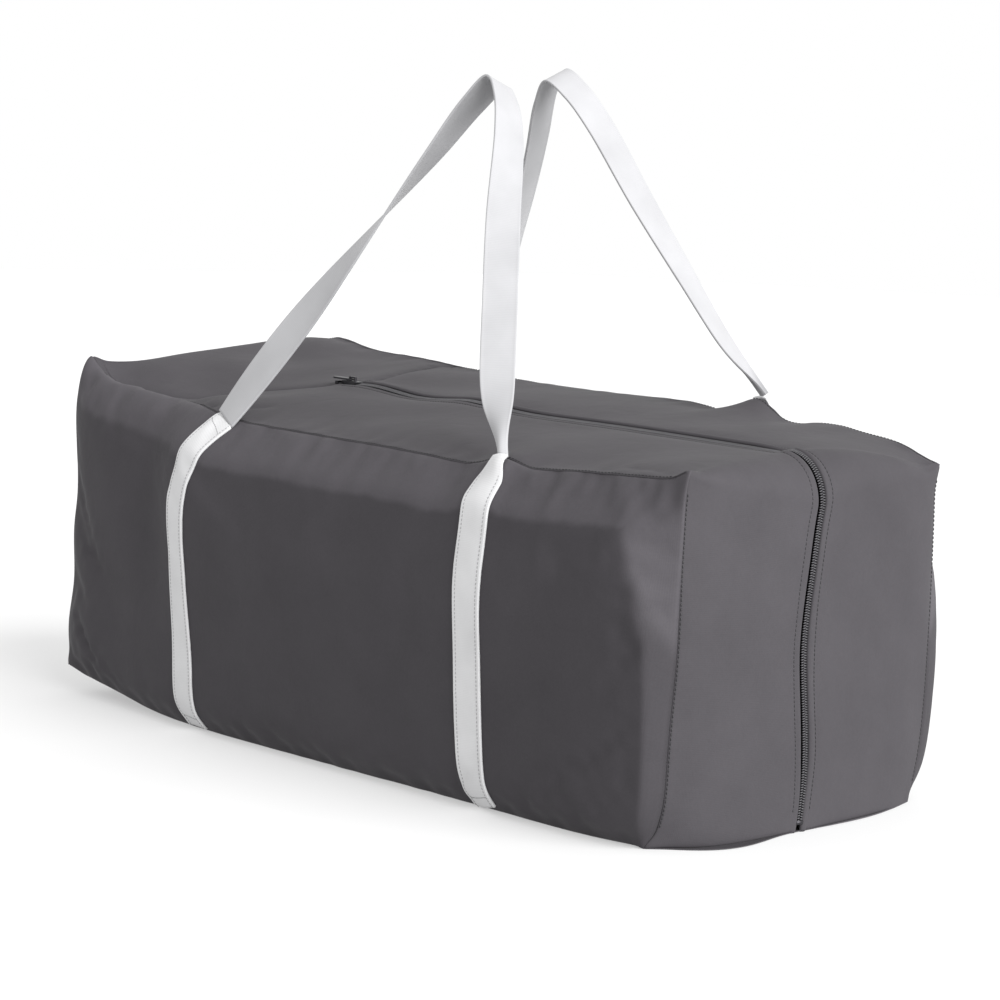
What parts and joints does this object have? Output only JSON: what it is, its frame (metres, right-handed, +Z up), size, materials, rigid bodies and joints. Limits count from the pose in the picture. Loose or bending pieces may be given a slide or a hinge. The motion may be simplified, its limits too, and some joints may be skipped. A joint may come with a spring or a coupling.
{
  "type": "folded playpen in carry bag",
  "caption": "Playpen folded flat for travel inside a long zipped fabric carry bag with webbing handles, the frame, boards and mesh sides packed within.",
  "frame": {"origin": "middle of the bag's base, on the surface it stands on", "axes": "+X along the bag towards the zipped end, -Y out of the front panel, +Z up"},
  "size_m": [0.83, 0.362, 0.617],
  "materials": {
    "bag_fabric": "woven polyester, slight sheen",
    "zip_tape": "woven tape",
    "zip_chain": "moulded coil",
    "slider_metal": "dark enamel on cast zinc",
    "webbing": "woven webbing, ribbed",
    "mattress_board": "quilted polyester over board and foam",
    "frame_tube": "powder coat on steel tube",
    "moulding": "moulded nylon, fine grain",
    "netting": "knitted mesh, folded",
    "hook_and_loop": "hook and loop tape"
  },
  "bodies": {
    "bag": {"back_panel": "bag_fabric", "bottom_panel": "bag_fabric", "corner_joint_back_high": "moulding", "corner_joint_back_low": "moulding", "corner_joint_front_high": "moulding", "corner_joint_front_low": "moulding", "corner_post_back_high": "frame_tube", "corner_post_back_low": "frame_tube", "corner_post_front_high": "frame_tube", "corner_post_front_low": "frame_tube", "floor_arm_back_high": "frame_tube", "floor_arm_back_low": "frame_tube", "floor_arm_front_high": "frame_tube", "floor_arm_front_low": "frame_tube", "floor_hub": "moulding", "foot_back_high": "moulding", "foot_back_low": "moulding", "foot_front_high": "moulding", "foot_front_low": "moulding", "front_panel": "bag_fabric", "left_end_panel": "bag_fabric", "mattress_board_back": "mattress_board", "mattress_board_bottom": "mattress_board", "mattress_board_front": "mattress_board", "mattress_board_top": "mattress_board", "mesh_side_back": "netting", "mesh_side_front": "netting", "mesh_side_left": "netting", "mesh_side_right": "netting", "rail_back_a": "frame_tube", "rail_back_b": "frame_tube", "rail_front_a": "frame_tube", "rail_front_b": "frame_tube", "rail_left_a": "frame_tube", "rail_left_b": "frame_tube", "rail_lock_back": "moulding", "rail_lock_front": "moulding", "rail_lock_left": "moulding", "rail_lock_right": "moulding", "rail_right_a": "frame_tube", "rail_right_b": "frame_tube", "sewn_leg_back_left": "webbing", "sewn_leg_back_right": "webbing", "sewn_leg_front_left": "webbing", "sewn_leg_front_right": "webbing", "top_end_strip_back": "bag_fabric", "top_end_strip_front": "bag_fabric", "wrap_strap_left": "hook_and_loop", "wrap_strap_right": "hook_and_loop", "zip_chain": "zip_chain", "zip_end_stop": "slider_metal", "zip_tape_back": "zip_tape", "zip_tape_front": "zip_tape", "zip_top_stop": "slider_metal"},
    "slider": {"zip_slider": "slider_metal"},
    "pull": {"zip_pull": "slider_metal"},
    "handle_front": {"handle_front": "webbing"},
    "handle_back": {"handle_back": "webbing"}
  },
  "joints": [
    {"name": "zip_slider_slide", "type": "slide", "parent": "bag", "child": "slider", "axis": [0.9994, 0, -0.034], "range_m": [0, 0.52]},
    {"name": "zip_pull_flip", "type": "hinge", "parent": "slider", "child": "pull", "pos_m": [-0.17184, 0, 0.32475], "axis": [0, 1, 0], "range_deg": [0, 170]},
    {"name": "handle_front_swing", "type": "hinge", "parent": "bag", "child": "handle_front", "pos_m": [0, -0.16, 0.2925], "axis": [1, 0, 0], "range_deg": [0, 150]},
    {"name": "handle_back_swing", "type": "hinge", "parent": "bag", "child": "handle_back", "pos_m": [0, 0.16, 0.3305], "axis": [-1, 0, 0], "range_deg": [0, 150]}
  ]
}
